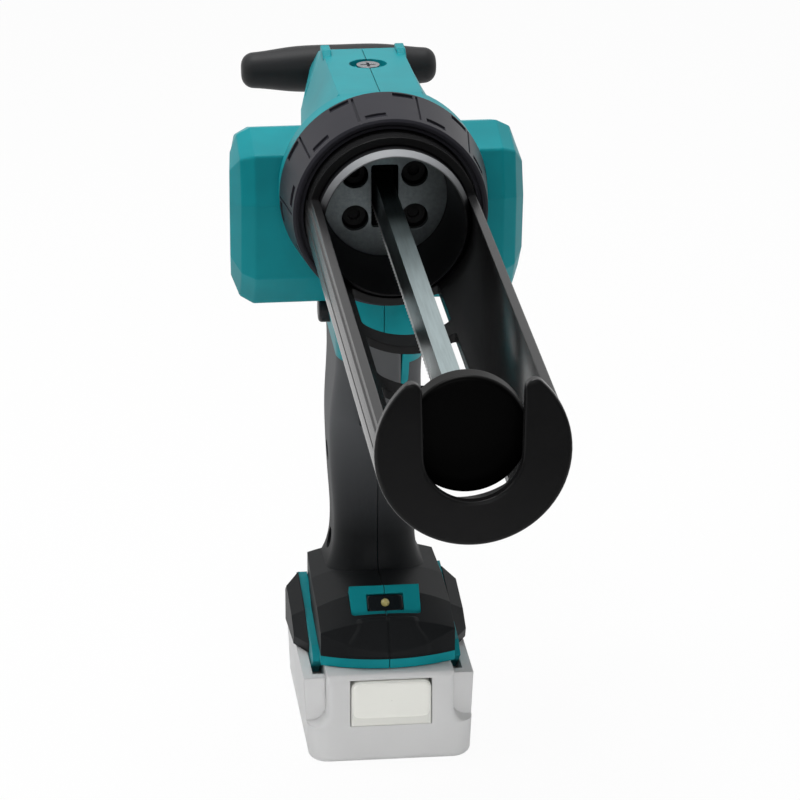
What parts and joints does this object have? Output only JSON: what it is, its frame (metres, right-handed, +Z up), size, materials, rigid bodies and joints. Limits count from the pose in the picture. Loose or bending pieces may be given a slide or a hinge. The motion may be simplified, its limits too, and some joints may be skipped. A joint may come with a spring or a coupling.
{
  "type": "cordless caulking tool",
  "caption": "Pistol-grip caulking tool: open cartridge holder, toothed rack with piston and T-handle, transverse drive housing and slide-on battery.",
  "frame": {"origin": "middle of the battery's flat base, which the tool stands on", "axes": "+Z up, +Y from the holder's nose to the T-handle, +X to the side on the right seen from the nose's camera"},
  "size_m": [0.1012, 0.4157, 0.2353],
  "materials": {
    "teal_shell": "moulded, fine matt texture",
    "soft_black": "soft moulded rubber",
    "holder_black": "moulded, satin",
    "collar_grey": "moulded, satin",
    "cast_case": "cast",
    "guide_grey": "dark coated plate",
    "rack_steel": "drawn bar, cut teeth",
    "screw_steel": "plated",
    "gear_steel": "cut and ground",
    "motor_steel": "plated sheet",
    "magnet_black": "pressed ferrite",
    "contact_brass": "drawn",
    "inner_plastic": "moulded",
    "trigger_grey": "moulded, satin",
    "board_green": "coated board",
    "lens_clear": "clear lens",
    "battery_grey": "moulded, satin",
    "button_cream": "moulded, satin",
    "cell_wrap": "shrink sleeve"
  },
  "bodies": {
    "body": {"housing_left": "teal_shell", "housing_right": "teal_shell", "grip_left": "soft_black", "grip_right": "soft_black", "bumper_left": "soft_black", "bumper_right": "soft_black", "gear_case": "cast_case", "guide_plate": "guide_grey", "case_screws": "screw_steel", "housing_screws": "screw_steel", "top_screw": "screw_steel", "roller_pin": "screw_steel", "ring_gear": "gear_steel", "bearing_left": "gear_steel", "bearing_right": "gear_steel", "motor_can": "motor_steel", "magnets": "magnet_black", "terminal_blades": "contact_brass", "rear_bush": "contact_brass", "trigger_spring": "contact_brass", "motor_cap": "inner_plastic", "gear_cover": "inner_plastic", "switch": "inner_plastic", "dial_base": "inner_plastic", "terminal_block": "inner_plastic", "control_board": "board_green", "lamp_board": "board_green", "lamp_lens": "lens_clear"},
    "rack": {"rack": "rack_steel", "piston": "holder_black", "piston_pin": "screw_steel", "t_handle": "soft_black", "handle_screw": "screw_steel"},
    "pinion": {"rack_pinion": "gear_steel"},
    "roller": {"roller": "gear_steel"},
    "rotor": {"armature": "motor_steel", "commutator": "contact_brass", "motor_shaft": "gear_steel", "sun_gear": "gear_steel"},
    "carrier_1": {"carrier_1": "gear_steel"},
    "carrier_2": {"carrier_2": "gear_steel"},
    "trigger": {"trigger": "trigger_grey"},
    "lock_button": {"lock_button": "holder_black"},
    "speed_dial": {"speed_dial": "trigger_grey"},
    "collar": {"collar": "collar_grey"},
    "holder": {"holder": "holder_black"},
    "battery": {"battery_case": "battery_grey", "battery_lid": "battery_grey", "cells": "cell_wrap"},
    "battery_button": {"battery_button": "button_cream"},
    "planet_1_1": {"planet_1_1": "gear_steel"},
    "planet_1_2": {"planet_1_2": "gear_steel"},
    "planet_1_3": {"planet_1_3": "gear_steel"},
    "planet_2_1": {"planet_2_1": "gear_steel"},
    "planet_2_2": {"planet_2_2": "gear_steel"},
    "planet_2_3": {"planet_2_3": "gear_steel"}
  },
  "joints": [
    {"name": "rack_slide", "type": "slide", "parent": "body", "child": "rack", "axis": [0, 1, 0], "range_m": [0, 0.205]},
    {"name": "pinion_spin", "type": "hinge", "parent": "body", "child": "pinion", "pos_m": [0, 0.017, 0.1855], "axis": [1, 0, 0], "range_deg": [-1700, 0]},
    {"name": "roller_spin", "type": "hinge", "parent": "body", "child": "roller", "pos_m": [0, 0.017, 0.21004], "axis": [1, 0, 0], "range_deg": [0, 2160]},
    {"name": "motor_spin", "type": "hinge", "parent": "body", "child": "rotor", "pos_m": [0, 0.017, 0.1855], "axis": [1, 0, 0], "continuous": true},
    {"name": "trigger_pull", "type": "slide", "parent": "body", "child": "trigger", "axis": [0, 1, 0], "range_m": [0, 0.007], "stiffness_N_per_m": 1000, "deforming": ["trigger_spring"]},
    {"name": "lock_push", "type": "slide", "parent": "body", "child": "lock_button", "axis": [1, 0, 0], "range_m": [0, 0.004]},
    {"name": "dial_turn", "type": "hinge", "parent": "body", "child": "speed_dial", "pos_m": [0, 0.0375, 0.136], "axis": [1, 0, 0], "range_deg": [0, 270]},
    {"name": "collar_turn", "type": "hinge", "parent": "body", "child": "collar", "pos_m": [0, -0.031, 0.2], "axis": [0, 1, 0], "range_deg": [0, 90]},
    {"name": "holder_turn", "type": "hinge", "parent": "body", "child": "holder", "pos_m": [0, -0.044, 0.2], "axis": [0, 1, 0], "range_deg": [-180, 180]},
    {"name": "battery_slide", "type": "slide", "parent": "body", "child": "battery", "axis": [0, -1, 0], "range_m": [0, 0.09]},
    {"name": "battery_button_press", "type": "slide", "parent": "battery", "child": "battery_button", "axis": [0, 1, 0], "range_m": [0, 0.003], "stiffness_N_per_m": 1500},
    {"name": "carrier_1_spin", "type": "hinge", "parent": "body", "child": "carrier_1", "pos_m": [0, 0.017, 0.1855], "axis": [1, 0, 0], "continuous": true},
    {"name": "planet_1_1_spin", "type": "hinge", "parent": "carrier_1", "child": "planet_1_1", "pos_m": [0, 0.017, 0.1975], "axis": [1, 0, 0], "continuous": true},
    {"name": "planet_1_2_spin", "type": "hinge", "parent": "carrier_1", "child": "planet_1_2", "pos_m": [0, 0.00661, 0.1795], "axis": [1, 0, 0], "continuous": true},
    {"name": "planet_1_3_spin", "type": "hinge", "parent": "carrier_1", "child": "planet_1_3", "pos_m": [0, 0.02739, 0.1795], "axis": [1, 0, 0], "continuous": true},
    {"name": "carrier_2_spin", "type": "hinge", "parent": "body", "child": "carrier_2", "pos_m": [0, 0.017, 0.1855], "axis": [1, 0, 0], "continuous": true},
    {"name": "planet_2_1_spin", "type": "hinge", "parent": "carrier_2", "child": "planet_2_1", "pos_m": [0, 0.017, 0.1975], "axis": [1, 0, 0], "continuous": true},
    {"name": "planet_2_2_spin", "type": "hinge", "parent": "carrier_2", "child": "planet_2_2", "pos_m": [0, 0.00661, 0.1795], "axis": [1, 0, 0], "continuous": true},
    {"name": "planet_2_3_spin", "type": "hinge", "parent": "carrier_2", "child": "planet_2_3", "pos_m": [0, 0.02739, 0.1795], "axis": [1, 0, 0], "continuous": true}
  ],
  "couplings": [
    {"joint": "pinion_spin", "follows": "rack_slide", "rad_per_m": -142.86},
    {"joint": "roller_spin", "follows": "rack_slide", "rad_per_m": 181.82},
    {"joint": "carrier_1_spin", "follows": "motor_spin", "ratio": 0.2},
    {"joint": "planet_1_1_spin", "follows": "motor_spin", "ratio": -0.53333},
    {"joint": "planet_1_2_spin", "follows": "motor_spin", "ratio": -0.53333},
    {"joint": "planet_1_3_spin", "follows": "motor_spin", "ratio": -0.53333},
    {"joint": "carrier_2_spin", "follows": "motor_spin", "ratio": 0.04},
    {"joint": "planet_2_1_spin", "follows": "motor_spin", "ratio": -0.10667},
    {"joint": "planet_2_2_spin", "follows": "motor_spin", "ratio": -0.10667},
    {"joint": "planet_2_3_spin", "follows": "motor_spin", "ratio": -0.10667}
  ]
}
